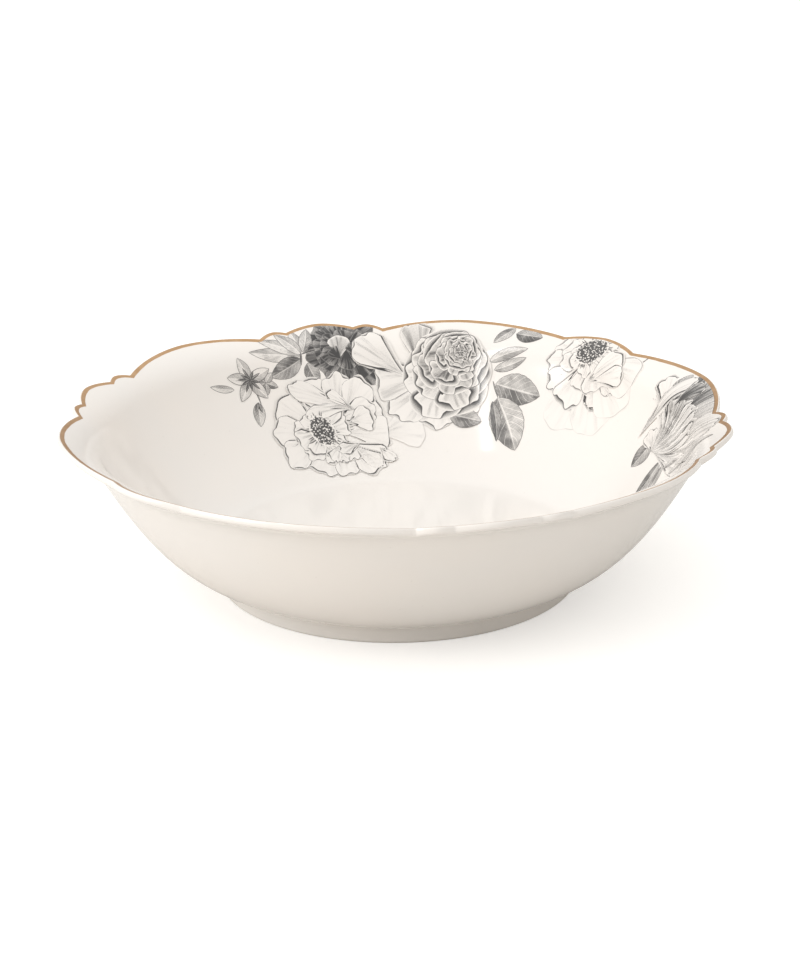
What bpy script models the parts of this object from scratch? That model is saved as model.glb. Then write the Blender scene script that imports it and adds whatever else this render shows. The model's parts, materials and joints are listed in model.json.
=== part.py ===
"""Porcelain serving bowl with a notched six-lobed rim, as it is made: a cast bowl, a foot
ring luted into its underside, a band of gilding on top of the lip, and printed transfers
on the inner wall. Metres, +Z up. The origin is the centre of the foot's contact face, and +Y
points at the back of the bowl, where the transfers are densest."""

from bisect import bisect
from math import atan2, cos, pi, radians, sin

import bmesh
import bpy
from mathutils import Vector
from mathutils.geometry import interpolate_bezier

# Driving dimensions
RIM_RADIUS = 0.1268  # to the crown of a large lobe
LIP_UNDERSIDE = 0.0638  # height of the lip's lower edge on that crown
LIP_SLOPE = radians(22)
LIP_THICKNESS = 0.0024
WALL_THICKNESS = 0.0033
SHOULDER = Vector((0.1142, 0.0538))  # where the straight wall starts to flare into the lip
WALL_SLOPE = radians(61.5)
FOOT_RADIUS = 0.0691
FOOT_HEIGHT = 0.0061
FOOT_WIDTH = 0.0055
BELLY_SLOPE = radians(26)  # of the wall where it leaves the foot
WELL_FLOOR = 0.0088
WELL_EDGE_RADIUS = 0.074
UNDERSIDE = 0.0052  # height of the middle of the underside
SLIP_GAP = 0.0003  # filled with slip, glaze or size on the real bowl

# Rim outline, by halves of a motif: degrees from the motif's centre and share of the radius
MOTIF_PITCH = 60.0
FIRST_MOTIF = 45.6
SMALL_LOBE_CROWN = 0.994
INNER_NOTCH = (7.0, 0.965)
TOOTH = (9.5, 0.976)
OUTER_NOTCH = (13.0, 0.9535)
PLAIN_DIP = (8.5, 0.969)
PLAIN_LOBE_CROWN = 1.0

# Gilding
GILT_THICKNESS = 0.0003
GILT_WIDTH = 0.0016
LIP_NOSE = 0.0009  # how far the rounded edge stands beyond the two faces

# Register ridge under the bowl, and the groove for it in the foot ring
RIDGE_DEPTH = 0.0012
RIDGE_WIDTH = 0.0024
RIDGE_INSET = 0.0016  # from the foot's outer face
CHAMFER = 0.0007
FOOT_SIDES = 96

# Rows of vertices of the bowl's two surfaces: radii on the floor, heights on the walls, and
# shares of the flare's width
FLOOR_RADII = (0.030, 0.058, 0.068)
INNER_HEIGHTS = (0.0125, 0.018, 0.026, 0.036, 0.046, 0.054)
OUTER_HEIGHTS = (0.0535, 0.044, 0.033, 0.024, 0.017, 0.011)
INNER_FLARE_SHARES = (0.4, 0.75)
OUTER_FLARE_SHARES = (0.6, 0.25)
SLOPE_STEP = 0.0005  # over which a profile's slope is read

# Transfers: name, centre angle and height, half width (degrees), half height, lobes, lobe depth
TRANSFER_THICKNESS = 0.0003
TRANSFERS = (
    ("star_flower_transfer", 125.6, 0.0470, 8.2, 0.0112, 5, 0.12),
    ("rim_leaf_transfer", 114.0, 0.0568, 4.3, 0.0058, 2, 0.10),
    ("dark_peony_transfer", 100.6, 0.0540, 8.0, 0.0086, 7, 0.05),
    ("white_peony_transfer", 107.0, 0.0282, 14.0, 0.0142, 8, 0.04),
    ("grey_rose_transfer", 80.3, 0.0450, 10.6, 0.0168, 9, 0.04),
    ("leaf_spray_transfer", 61.8, 0.0425, 6.8, 0.0190, 3, 0.10),
    ("pale_peony_transfer", 42.5, 0.0490, 11.0, 0.0125, 7, 0.05),
    ("striped_rose_transfer", 9.0, 0.0490, 12.5, 0.0140, 6, 0.05),
)
TRANSFER_RINGS = 4
TRANSFER_SPOKES = 20

PORCELAIN = ((0.90, 0.875, 0.84), 0.12, 0.0)
GOLD = ((0.66, 0.44, 0.24), 0.25, 1.0)
GREY_PRINT = ((0.42, 0.42, 0.41), 0.2, 0.0)


def bezier(start, start_pull, start_slope, end, end_pull, end_slope, count):
    """Points of a cubic stretch in the (radius, height) plane, from its ends and their slopes."""
    leave = Vector((cos(start_slope), sin(start_slope))) * start_pull
    arrive = Vector((cos(end_slope), sin(end_slope))) * end_pull
    return interpolate_bezier(start, start + leave, end - arrive, end, count)


def thickened(points, first, last):
    """The same stretch moved to the bowl's inner side, by a thickness from first to last."""
    moved = []
    for i, point in enumerate(points):
        before, after = points[max(i - 1, 0)], points[min(i + 1, len(points) - 1)]
        along = (after - before).normalized()
        share = i / (len(points) - 1)
        thickness = first + (last - first) * share
        moved.append(point + Vector((-along.y, along.x)) * thickness)
    return moved


def turned_surfaces():
    """The outer and the inner profile, each as a fine polyline from low to high."""
    crease = Vector((FOOT_RADIUS + SLIP_GAP, FOOT_HEIGHT))
    lip = Vector((RIM_RADIUS, LIP_UNDERSIDE))
    wall = bezier(crease, 0.017, BELLY_SLOPE, SHOULDER, 0.034, WALL_SLOPE, 60)
    flare = bezier(SHOULDER, 0.0055, WALL_SLOPE, lip, 0.0055, LIP_SLOPE, 24)
    inner_wall = thickened(wall, WALL_THICKNESS, WALL_THICKNESS)
    inner_flare = thickened(flare, WALL_THICKNESS, LIP_THICKNESS)
    upper = [p for p in inner_wall if p.x > WELL_EDGE_RADIUS]
    rise = upper[1] - upper[0]
    centre = Vector((0.0, WELL_FLOOR))
    floor = bezier(centre, 0.050, 0.0, upper[0], 0.006, atan2(rise.y, rise.x), 30)
    return wall + flare[1:], floor[:-1] + upper + inner_flare[1:]


OUTER, INNER = turned_surfaces()


def read_profile(profile, key, value):
    """The point of a profile where its radius (key 0) or its height (key 1) has a value."""
    spot = min(max(bisect([p[key] for p in profile], value), 1), len(profile) - 1)
    low, high = profile[spot - 1], profile[spot]
    return low.lerp(high, (value - low[key]) / (high[key] - low[key]))


def half_motif(toothed):
    """Stretches of the outline from a motif's centre to a large lobe's crown, with their steps."""
    end = (MOTIF_PITCH / 2, 1.0)
    if toothed:
        return [
            ((0.0, SMALL_LOBE_CROWN), INNER_NOTCH, 3, "falling"),
            (INNER_NOTCH, TOOTH, 1, "straight"),
            (TOOTH, OUTER_NOTCH, 1, "straight"),
            (OUTER_NOTCH, end, 5, "rising"),
        ]
    return [
        ((0.0, PLAIN_LOBE_CROWN), PLAIN_DIP, 4, "falling"),
        (PLAIN_DIP, end, 6, "rising"),
    ]


def along_stretch(start, end, share, shape):
    """Reach of the outline part of the way along a stretch: lobes are round at the crown."""
    if shape == "falling":
        share = share**2
    elif shape == "rising":
        share = 1 - (1 - share) ** 2
    return start[1] + (end[1] - start[1]) * share


def rim_columns():
    """(angle in radians, radius of the lip's edge) round the whole rim, anticlockwise."""
    columns = []
    for number in range(6):
        half = half_motif(toothed=number % 3 != 0)
        steps = []
        for start, end, count, shape in half:
            for i in range(count):
                angle = start[0] + (end[0] - start[0]) * i / count
                steps.append((angle, along_stretch(start, end, i / count, shape)))
        mirrored = [(-angle, reach) for angle, reach in steps[:0:-1]]
        crown = [(MOTIF_PITCH / 2, 1.0)]
        centre = FIRST_MOTIF + MOTIF_PITCH * number
        for angle, reach in mirrored + steps + crown:
            columns.append((radians(centre + angle), reach * RIM_RADIUS))
    return columns


def ring_solid(name, sections, angles, parent, closed_section):
    """A closed solid from one (radius, height) section for each angle, all with equal point counts.
    An open section starts and ends on the axis."""
    mesh = bmesh.new()
    inside = range(len(sections[0])) if closed_section else range(1, len(sections[0]) - 1)
    rings = []
    for section, angle in zip(sections, angles):
        ring = []
        for i in inside:
            radius, height = section[i]
            ring.append(mesh.verts.new((radius * cos(angle), radius * sin(angle), height)))
        rings.append(ring)
    count = len(rings[0])
    for ring, following in zip(rings, rings[1:] + rings[:1]):
        for i in range(count if closed_section else count - 1):
            j = (i + 1) % count
            mesh.faces.new((ring[i], following[i], following[j], ring[j]))
    if not closed_section:
        for end, pole in ((0, sections[0][0]), (-1, sections[0][-1])):
            middle = mesh.verts.new((0.0, 0.0, pole[1]))
            for ring, following in zip(rings, rings[1:] + rings[:1]):
                mesh.faces.new((middle, ring[end], following[end]))
    return finished(name, mesh, parent)


def finished(name, mesh, parent):
    """An object with its faces turned outwards and its round faces shaded smooth."""
    bmesh.ops.recalc_face_normals(mesh, faces=mesh.faces)
    if mesh.calc_volume(signed=True) < 0:
        bmesh.ops.reverse_faces(mesh, faces=mesh.faces)
    data = bpy.data.meshes.new(name)
    mesh.to_mesh(data)
    mesh.free()
    data.shade_smooth()
    data.set_sharp_from_angle(angle=radians(35))
    piece = bpy.data.objects.new(name, data)
    piece.parent = parent
    bpy.context.scene.collection.objects.link(piece)
    return piece


def give_material(piece, look):
    colour, roughness, metallic = look
    material = bpy.data.materials.new(piece.name)
    material.use_nodes = True
    shader = material.node_tree.nodes["Principled BSDF"]
    shader.inputs["Base Color"].default_value = (*colour, 1.0)
    shader.inputs["Roughness"].default_value = roughness
    shader.inputs["Metallic"].default_value = metallic
    piece.data.materials.append(material)


def face_point(profile, radius, depth):
    """A point of the lip at a radius, below its inner face or above its outer one by a depth."""
    point = read_profile(profile, 0, radius)
    along = (point - read_profile(profile, 0, radius - 2 * SLOPE_STEP)).normalized()
    side = 1 if profile is INNER else -1
    return point + Vector((along.y, -along.x)) * side * depth


def lip_section(edge):
    """The lip from the rebate for the gilding over the rounded edge to the underside."""
    crest = edge - LIP_NOSE
    rebate = GILT_THICKNESS + SLIP_GAP
    band_end = crest - GILT_WIDTH - SLIP_GAP
    top, under = face_point(INNER, crest, 0.0), face_point(OUTER, crest, 0.0)
    nose = (top + under) / 2 + Vector((cos(LIP_SLOPE), sin(LIP_SLOPE))) * LIP_NOSE
    start, floor_start = face_point(INNER, band_end, 0.0), face_point(INNER, band_end, rebate)
    return [start, floor_start, face_point(INNER, crest, rebate), nose, under]


def build_bowl_shell(columns, parent):
    """The cast body: well, wall and flared lip, with a register ridge under it for the foot."""
    ridge_out = FOOT_RADIUS - RIDGE_INSET
    ridge_in = ridge_out - RIDGE_WIDTH
    ring_in = FOOT_RADIUS - FOOT_WIDTH
    seat = FOOT_HEIGHT + SLIP_GAP
    underside = [
        (FOOT_RADIUS + SLIP_GAP, seat),
        (ridge_out, seat),
        (ridge_out, seat - RIDGE_DEPTH),
        (ridge_in, seat - RIDGE_DEPTH),
        (ridge_in, seat),
        (ring_in, seat),
        (ring_in / 2, (seat + UNDERSIDE) / 2),
        (0.0, UNDERSIDE),
    ]
    sections = []
    for _, edge in columns:
        lip = lip_section(edge)
        floor = [read_profile(INNER, 0, radius) for radius in FLOOR_RADII]
        wall = [read_profile(INNER, 1, height) for height in INNER_HEIGHTS]
        start, width = wall[-1].x, lip[0].x - wall[-1].x
        flare = [read_profile(INNER, 0, start + width * share) for share in INNER_FLARE_SHARES]
        width = lip[-1].x - SHOULDER.x
        down = [read_profile(OUTER, 0, SHOULDER.x + width * share) for share in OUTER_FLARE_SHARES]
        down += [read_profile(OUTER, 1, height) for height in OUTER_HEIGHTS]
        sections.append([(0.0, WELL_FLOOR), *floor, *wall, *flare, *lip, *down, *underside])
    angles = [angle for angle, _ in columns]
    shell = ring_solid("bowl_shell", sections, angles, parent, closed_section=False)
    give_material(shell, PORCELAIN)


def build_rim_gilding(columns, parent):
    """A thin band on top of the lip, lying in a rebate so that it ends flush with the porcelain."""
    sections = []
    for _, edge in columns:
        crest = edge - LIP_NOSE
        start = crest - GILT_WIDTH
        outside = [face_point(INNER, radius, 0.0) for radius in (start, crest)]
        underneath = [face_point(INNER, radius, GILT_THICKNESS) for radius in (crest, start)]
        sections.append(outside + underneath)
    angles = [angle for angle, _ in columns]
    band = ring_solid("rim_gilding", sections, angles, parent, closed_section=True)
    give_material(band, GOLD)


def build_foot_ring(parent):
    """The thrown ring that the bowl stands on, with a groove in its top face for the ridge."""
    outer, inner = FOOT_RADIUS, FOOT_RADIUS - FOOT_WIDTH
    groove_out = outer - RIDGE_INSET + SLIP_GAP
    groove_in = groove_out - RIDGE_WIDTH - 2 * SLIP_GAP
    groove_floor = FOOT_HEIGHT - RIDGE_DEPTH - SLIP_GAP
    section = [
        (inner + 2 * CHAMFER, 0.0),
        (outer - CHAMFER, 0.0),
        (outer, CHAMFER),
        (outer + SLIP_GAP, FOOT_HEIGHT),
        (groove_out, FOOT_HEIGHT),
        (groove_out, groove_floor),
        (groove_in, groove_floor),
        (groove_in, FOOT_HEIGHT),
        (inner, FOOT_HEIGHT),
        (inner + CHAMFER / 2, CHAMFER),
    ]
    angles = [2 * pi * side / FOOT_SIDES for side in range(FOOT_SIDES)]
    ring = ring_solid("foot_ring", [section] * FOOT_SIDES, angles, parent, closed_section=True)
    give_material(ring, PORCELAIN)


def wall_point(angle, height, lift):
    """A point above the inner wall: its angle and height on the wall, and how far it stands off."""
    here = read_profile(INNER, 1, height)
    along = (read_profile(INNER, 1, height + SLOPE_STEP) - here).normalized()
    spot = here + Vector((-along.y, along.x)) * lift
    return Vector((spot.x * cos(angle), spot.x * sin(angle), spot.y))


def build_transfer(name, angle, height, half_width, half_height, lobes, depth, parent):
    """One printed film, cut round its flower, lying just off the inner wall."""
    mesh = bmesh.new()
    skins = []
    for lift in (SLIP_GAP, SLIP_GAP + TRANSFER_THICKNESS):
        rings = [[mesh.verts.new(wall_point(radians(angle), height, lift))]]
        for ring in range(1, TRANSFER_RINGS + 1):
            verts = []
            for spoke in range(TRANSFER_SPOKES):
                turn = 2 * pi * spoke / TRANSFER_SPOKES
                reach = ring / TRANSFER_RINGS * (1 - depth + depth * cos(lobes * (turn - pi / 2)))
                across = radians(angle + half_width * reach * cos(turn))
                up = height + half_height * reach * sin(turn)
                verts.append(mesh.verts.new(wall_point(across, up, lift)))
            rings.append(verts)
        for i in range(TRANSFER_SPOKES):
            j = (i + 1) % TRANSFER_SPOKES
            mesh.faces.new((rings[0][0], rings[1][i], rings[1][j]))
            for low, high in zip(rings[1:], rings[2:]):
                mesh.faces.new((low[i], high[i], high[j], low[j]))
        skins.append(rings[-1])
    for i in range(TRANSFER_SPOKES):
        j = (i + 1) % TRANSFER_SPOKES
        mesh.faces.new((skins[0][i], skins[1][i], skins[1][j], skins[0][j]))
    film = finished(name, mesh, parent)
    give_material(film, GREY_PRINT)


def main():
    for old in list(bpy.data.objects):
        bpy.data.objects.remove(old)
    bowl = bpy.data.objects.new("serving_bowl", None)
    bpy.context.scene.collection.objects.link(bowl)
    columns = rim_columns()
    build_bowl_shell(columns, bowl)
    build_foot_ring(bowl)
    build_rim_gilding(columns, bowl)
    for transfer in TRANSFERS:
        build_transfer(*transfer, parent=bowl)


main()
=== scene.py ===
import json
from bisect import bisect
from math import atan2, ceil, cos, degrees, hypot, pi, radians, sin, sqrt

import bpy
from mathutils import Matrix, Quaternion, Vector
from mathutils.geometry import interpolate_bezier

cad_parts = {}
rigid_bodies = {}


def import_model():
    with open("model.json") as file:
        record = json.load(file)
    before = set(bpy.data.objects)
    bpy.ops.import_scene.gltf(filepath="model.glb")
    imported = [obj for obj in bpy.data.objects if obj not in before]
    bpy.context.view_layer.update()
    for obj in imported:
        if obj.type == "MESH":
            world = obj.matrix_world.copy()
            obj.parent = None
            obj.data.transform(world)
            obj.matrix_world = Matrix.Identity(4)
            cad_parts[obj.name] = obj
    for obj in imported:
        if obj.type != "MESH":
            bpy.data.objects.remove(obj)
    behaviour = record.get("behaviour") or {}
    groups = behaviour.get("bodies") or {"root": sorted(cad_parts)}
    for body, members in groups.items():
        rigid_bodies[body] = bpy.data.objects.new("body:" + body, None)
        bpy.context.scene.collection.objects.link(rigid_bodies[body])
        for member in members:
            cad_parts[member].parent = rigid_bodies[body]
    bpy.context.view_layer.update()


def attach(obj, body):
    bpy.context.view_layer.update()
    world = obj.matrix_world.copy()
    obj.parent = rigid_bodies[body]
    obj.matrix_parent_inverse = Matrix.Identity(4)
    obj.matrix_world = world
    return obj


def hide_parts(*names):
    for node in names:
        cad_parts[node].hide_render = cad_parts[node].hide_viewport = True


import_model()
for starter in [thing for thing in bpy.data.objects if thing.name in ("Cube", "Light", "Camera")]:
    bpy.data.objects.remove(starter)
bpy.ops.object.select_all(action="DESELECT")


# Camera: a long lens a little above the rim, level with a diner's eye, turned by a hair.
CAMERA_PLACE = Vector((0.0, -0.7522, 0.3072))
CAMERA_AIM = Vector((0.0010, 0.0, 0.0362))
CAMERA_ROLL = radians(-0.79)
CAMERA_LENS = 78.35

bpy.ops.object.camera_add(location=CAMERA_PLACE)
camera = bpy.context.object
camera.name = "camera"
camera.data.lens = CAMERA_LENS
camera.rotation_mode = "QUATERNION"
level = (CAMERA_AIM - CAMERA_PLACE).to_track_quat("-Z", "Y")
camera.rotation_quaternion = level @ Quaternion((0.0, 0.0, 1.0), CAMERA_ROLL)
bpy.context.scene.camera = camera


# Floor and light: white paper in a bright even room, with a soft box on the left and a narrow
# strip light above, which the glaze of the far wall mirrors as one short soft streak.
FLOOR_SIZE = 14.0
FLOOR_WHITE = (0.80, 0.785, 0.76, 1.0)
FLOOR_LIFT = 0.40
ROOM_LEVEL = (0.54, 0.507, 0.475, 1)
ROOM_ABOVE = (1.11, 1.12, 1.12, 1)
STRIP_ROLL = 42.0


def node(tree, kind, inputs=None, **settings):
    """A shader node with its settings, and with its inputs either linked or set."""
    made = tree.nodes.new(kind)
    for name, value in settings.items():
        setattr(made, name, value)
    for name, value in (inputs or {}).items():
        if isinstance(value, bpy.types.NodeSocket):
            tree.links.new(value, made.inputs[name])
        else:
            made.inputs[name].default_value = value
    return made


def sum_of(tree, operation, first, second=0.0, third=0.0, clamp=False):
    """One step of arithmetic in a node tree, as a socket."""
    inputs = {0: first, 1: second, 2: third}
    return node(tree, "ShaderNodeMath", inputs, operation=operation, use_clamp=clamp).outputs[0]


def ramp(tree, value, low, high, start=0.0, end=1.0, smooth=True):
    """value, eased from start at low to end at high."""
    inputs = {"Value": value, "From Min": low, "From Max": high, "To Min": start, "To Max": end}
    ease = "SMOOTHSTEP" if smooth else "LINEAR"
    return node(tree, "ShaderNodeMapRange", inputs, interpolation_type=ease).outputs["Result"]


def blend_colour(tree, share, first, second):
    mix = node(tree, "ShaderNodeMix", {0: share, 6: first, 7: second}, data_type="RGBA")
    return mix.outputs[2]


def noise(tree, place, scale, detail):
    inputs = {"Vector": place, "Scale": scale, "Detail": detail}
    return node(tree, "ShaderNodeTexNoise", inputs).outputs["Fac"]


def soft_box(name, place, aim, width, height, power, roll=0.0):
    bpy.ops.object.light_add(type="AREA", location=place)
    lamp = bpy.context.object
    lamp.name = name
    lamp.data.shape = "RECTANGLE"
    lamp.data.size = width
    lamp.data.size_y = height
    lamp.data.energy = power
    facing = (Vector(aim) - Vector(place)).to_track_quat("-Z", "Y")
    lamp.rotation_euler = (facing @ Quaternion((0.0, 0.0, 1.0), radians(roll))).to_euler()


bpy.ops.mesh.primitive_grid_add(x_subdivisions=8, y_subdivisions=8, size=FLOOR_SIZE)
floor = bpy.context.object
floor.name = "paper_floor"
paper = bpy.data.materials.new("paper")
paper.use_nodes = True
sheet = paper.node_tree.nodes["Principled BSDF"]
sheet.inputs["Base Color"].default_value = FLOOR_WHITE
sheet.inputs["Roughness"].default_value = 0.8
sheet.inputs["Specular IOR Level"].default_value = 0.0
sheet.inputs["Emission Color"].default_value = (1.0, 1.0, 1.0, 1.0)
seen = node(paper.node_tree, "ShaderNodeLightPath").outputs["Is Camera Ray"]
lift = sum_of(paper.node_tree, "MULTIPLY", seen, FLOOR_LIFT)
paper.node_tree.links.new(lift, sheet.inputs["Emission Strength"])
floor.data.materials.append(paper)

room = bpy.data.worlds.new("studio")
room.use_nodes = True
toward = node(room.node_tree, "ShaderNodeTexCoord").outputs["Generated"]
aim = node(room.node_tree, "ShaderNodeSeparateXYZ", {0: toward})
overhead = ramp(room.node_tree, aim.outputs["Z"], 0.05, 0.75)
sky = blend_colour(room.node_tree, overhead, ROOM_LEVEL, ROOM_ABOVE)
room.node_tree.links.new(sky, room.node_tree.nodes["Background"].inputs["Color"])
bpy.context.scene.world = room
bpy.context.scene.view_settings.view_transform = "Standard"

soft_box("key", (-1.3, -0.55, 0.60), (0.0, 0.0, 0.03), 0.8, 0.8, 8.2)
soft_box("strip", (-0.41, -0.24, 0.74), (0.033, 0.094, 0.047), 0.05, 0.55, 0.50, roll=STRIP_ROLL)


# Bowl shell: hard-paste porcelain, slip cast in a plaster mould in one wall from the well to
# the flared lip. The lip is cut to six lobes with small teeth between four pairs of them,
# sponged round, and the body is glazed all over but for the foot's edge.
RIM_RADIUS = 0.1268
LIP_NOSE = 0.0009
CREST = RIM_RADIUS - LIP_NOSE
RIGID_LIP = 0.0025
LIP_SLOPE = 22.0
WALL_SLOPE = 61.5
BELLY_SLOPE = 19.0
WELL_EDGE = (0.0740, 0.0123)
INNER_SHOULDER = (0.1113, 0.0554)
OUTER_SHOULDER = (0.1142, 0.0538)
TOP_EDGE = (CREST, 0.0660)
UNDER_EDGE = (CREST, 0.06344)
CREASE = (0.0684, 0.0058)
WELL_SLOPE = 27.9
WELL_MIDDLE = (0.0, 0.0088)
UNDER_MIDDLE = (0.0, 0.0052)
FOOT_RING_INSIDE = (0.0636, 0.0064)
SHELL_STEPS = 1080
WELD = 0.000002
CREASE_ANGLE = radians(40)


def stretch(start, start_pull, start_slope, end, end_pull, end_slope, count):
    """Points of one cubic stretch of a profile, without its last one."""
    leave = Vector((cos(radians(start_slope)), sin(radians(start_slope)))) * start_pull
    arrive = Vector((cos(radians(end_slope)), sin(radians(end_slope)))) * end_pull
    start, end = Vector(start), Vector(end)
    return interpolate_bezier(start, start + leave, end - arrive, end, count + 1)[:-1]


lip_middle = (Vector(TOP_EDGE) + Vector(UNDER_EDGE)) / 2
nose = lip_middle + Vector((cos(radians(LIP_SLOPE)), sin(radians(LIP_SLOPE)))) * LIP_NOSE
inner_profile = (
    stretch(WELL_MIDDLE, 0.050, 0.0, WELL_EDGE, 0.006, WELL_SLOPE, 10)
    + stretch(WELL_EDGE, 0.014, WELL_SLOPE, INNER_SHOULDER, 0.026, WALL_SLOPE, 22)
    + stretch(INNER_SHOULDER, 0.0066, WALL_SLOPE, TOP_EDGE, 0.0062, LIP_SLOPE, 12)
    + [Vector(TOP_EDGE)]
)
nose_profile = (
    stretch(TOP_EDGE, 0.0006, LIP_SLOPE, nose, 0.0007, LIP_SLOPE - 90, 4)
    + stretch(nose, 0.0007, LIP_SLOPE - 90, UNDER_EDGE, 0.0006, LIP_SLOPE - 180, 4)
)
outer_profile = (
    stretch(UNDER_EDGE, 0.0054, LIP_SLOPE - 180, OUTER_SHOULDER, 0.0054, WALL_SLOPE - 180, 9)
    + stretch(OUTER_SHOULDER, 0.034, WALL_SLOPE - 180, CREASE, 0.020, BELLY_SLOPE - 180, 18)
    + [Vector(CREASE)]
)
under_profile = [Vector(FOOT_RING_INSIDE)] + stretch(
    (0.060, 0.0063), 0.020, 180.0, UNDER_MIDDLE, 0.030, 180.0, 5
) + [Vector(UNDER_MIDDLE)]


def height_at(curve, radius):
    """Height at a radius on a curve given as its radii, which grow, and its heights."""
    radii, heights = curve
    step = min(max(bisect(radii, radius), 1), len(radii) - 1)
    share = (radius - radii[step - 1]) / (radii[step] - radii[step - 1])
    return heights[step - 1] + (heights[step] - heights[step - 1]) * share


inner_curve = [p.x for p in inner_profile], [p.y for p in inner_profile]
outer_curve = [p.x for p in outer_profile[::-1]], [p.y for p in outer_profile[::-1]]

# Corners of the rim's outline, as degrees from a motif's centre and share of the rim's radius.
MOTIF_PITCH = 60.0
FIRST_MOTIF = 45.6
TOOTHED = ((0.0, 0.994), (7.0, 0.965), (9.5, 0.976), (13.0, 0.9535), (MOTIF_PITCH / 2, 1.0))
PLAIN = ((0.0, 1.0), (8.5, 0.969), (MOTIF_PITCH / 2, 1.0))


def reach(angle):
    """Share of the rim's radius at an angle: lobes and teeth are round, notches are pointed."""
    number = round((angle - FIRST_MOTIF) / MOTIF_PITCH)
    off = abs(angle - FIRST_MOTIF - number * MOTIF_PITCH)
    corners = PLAIN if number % 3 == 0 else TOOTHED
    for (start, from_reach), (end, to_reach) in zip(corners, corners[1:]):
        if off <= end:
            share = (off - start) / (end - start)
            share = share**1.7 if to_reach < from_reach else 1 - (1 - share) ** 1.7
            return from_reach + (to_reach - from_reach) * share
    return 1.0


def slide(radius, start, crest):
    """Where a point of the flare goes when the crest moves in: the last stretch keeps its shape."""
    rigid_from = CREST - RIGID_LIP
    if radius >= rigid_from:
        return radius + crest - CREST
    return start + (radius - start) * (crest - RIGID_LIP - start) / (rigid_from - start)


def cut_lobes(piece):
    """Draws the turned lip in to the lobed outline, down along the flare's own curve."""
    for vertex in piece.data.vertices:
        radius = hypot(vertex.co.x, vertex.co.y)
        if radius < INNER_SHOULDER[0] or vertex.co.z < OUTER_SHOULDER[1] - 0.001:
            continue
        crest = RIM_RADIUS * reach(degrees(atan2(vertex.co.y, vertex.co.x))) - LIP_NOSE
        known = min(radius, CREST)
        top, under = height_at(inner_curve, known), height_at(outer_curve, known)
        share = min(max((vertex.co.z - under) / (top - under), 0.0), 1.0)
        inner_radius = slide(radius, INNER_SHOULDER[0], crest)
        outer_radius = slide(radius, OUTER_SHOULDER[0], crest) if radius > OUTER_SHOULDER[0] else radius
        moved = outer_radius + (inner_radius - outer_radius) * share
        moved_known = moved - (radius - known)
        drop_inner = height_at(inner_curve, moved_known) - top
        drop_outer = height_at(outer_curve, moved_known) - under
        vertex.co.x *= moved / radius
        vertex.co.y *= moved / radius
        vertex.co.z += drop_outer + (drop_inner - drop_outer) * share


def turn_profile(name, points, steps, closed=False):
    """A profile of (radius, height) points spun into a closed body round the bowl's axis."""
    bpy.ops.mesh.primitive_plane_add(size=0.01)
    piece = bpy.context.object
    piece.name = name
    bpy.ops.object.mode_set(mode="EDIT")
    bpy.ops.mesh.select_all(action="SELECT")
    bpy.ops.mesh.delete(type="VERT")
    bpy.ops.object.mode_set(mode="OBJECT")
    start = radians(FIRST_MOTIF)
    places = [(p.x * cos(start), p.x * sin(start), p.y) for p in points]
    edges = [(i, i + 1) for i in range(len(places) - 1)] + ([(len(places) - 1, 0)] if closed else [])
    piece.data.from_pydata(places, edges, [])
    screw = piece.modifiers.new("turned", "SCREW")
    screw.steps = screw.render_steps = steps
    screw.use_merge_vertices = True
    screw.merge_threshold = WELD
    bpy.ops.object.modifier_apply(modifier=screw.name)
    bpy.ops.object.mode_set(mode="EDIT")
    bpy.ops.mesh.select_all(action="SELECT")
    bpy.ops.mesh.remove_doubles(threshold=WELD)
    bpy.ops.mesh.normals_make_consistent(inside=False)
    bpy.ops.object.mode_set(mode="OBJECT")
    bpy.ops.object.shade_smooth_by_angle(angle=CREASE_ANGLE)
    return piece


CREAM_WARM = (0.870, 0.817, 0.763, 1)
CREAM_COOL = (0.850, 0.808, 0.763, 1)
# Painted shade: the grey that the glaze is blended towards low down, near the foot.
PAINTED_SHADE_COLOUR = (0.76, 0.745, 0.71, 1)
SPECK = (0.42, 0.36, 0.30, 1)


def glaze_group():
    """Clear glaze over white paste: slow cream and cool clouds, greyer low down as painted shade towards the
    foot, softly uneven.
    """
    tree = bpy.data.node_groups.new("glazed paste", "ShaderNodeTree")
    for name, kind in (("Colour", "Color"), ("Roughness", "Float"), ("Height", "Float")):
        tree.interface.new_socket(name, in_out="OUTPUT", socket_type="NodeSocket" + kind)
    place = node(tree, "ShaderNodeTexCoord").outputs["Object"]
    height = node(tree, "ShaderNodeSeparateXYZ", {0: place}).outputs["Z"]
    cloud = noise(tree, place, 16.0, 2.0)
    fine = noise(tree, place, 900.0, 3.0)
    wave = noise(tree, place, 55.0, 1.0)
    speck = node(tree, "ShaderNodeTexVoronoi", {"Vector": place, "Scale": 140.0}).outputs["Distance"]
    speck = ramp(tree, speck, 0.03, 0.06, 0.10, 0.0)
    clouded = ramp(tree, cloud, 0.35, 0.65)
    cream = blend_colour(tree, clouded, CREAM_WARM, CREAM_COOL)
    # Painted shade: the colour darkens below 12 mm height, most at the foot.
    painted_shade = ramp(tree, height, 0.012, 0.002, 0.0, 0.35)
    cream = blend_colour(tree, painted_shade, cream, PAINTED_SHADE_COLOUR)
    cream = blend_colour(tree, speck, cream, SPECK)
    rough = sum_of(tree, "MULTIPLY_ADD", cloud, 0.05, 0.055)
    rough = sum_of(tree, "MULTIPLY_ADD", fine, 0.03, rough)
    relief = sum_of(tree, "MULTIPLY_ADD", fine, 0.02, wave)
    out = node(tree, "NodeGroupOutput")
    for name, value in (("Colour", cream), ("Roughness", rough), ("Height", relief)):
        tree.links.new(value, out.inputs[name])
    return tree


glazed_paste = glaze_group()
GLAZE_WAVE = 0.00006


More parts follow.
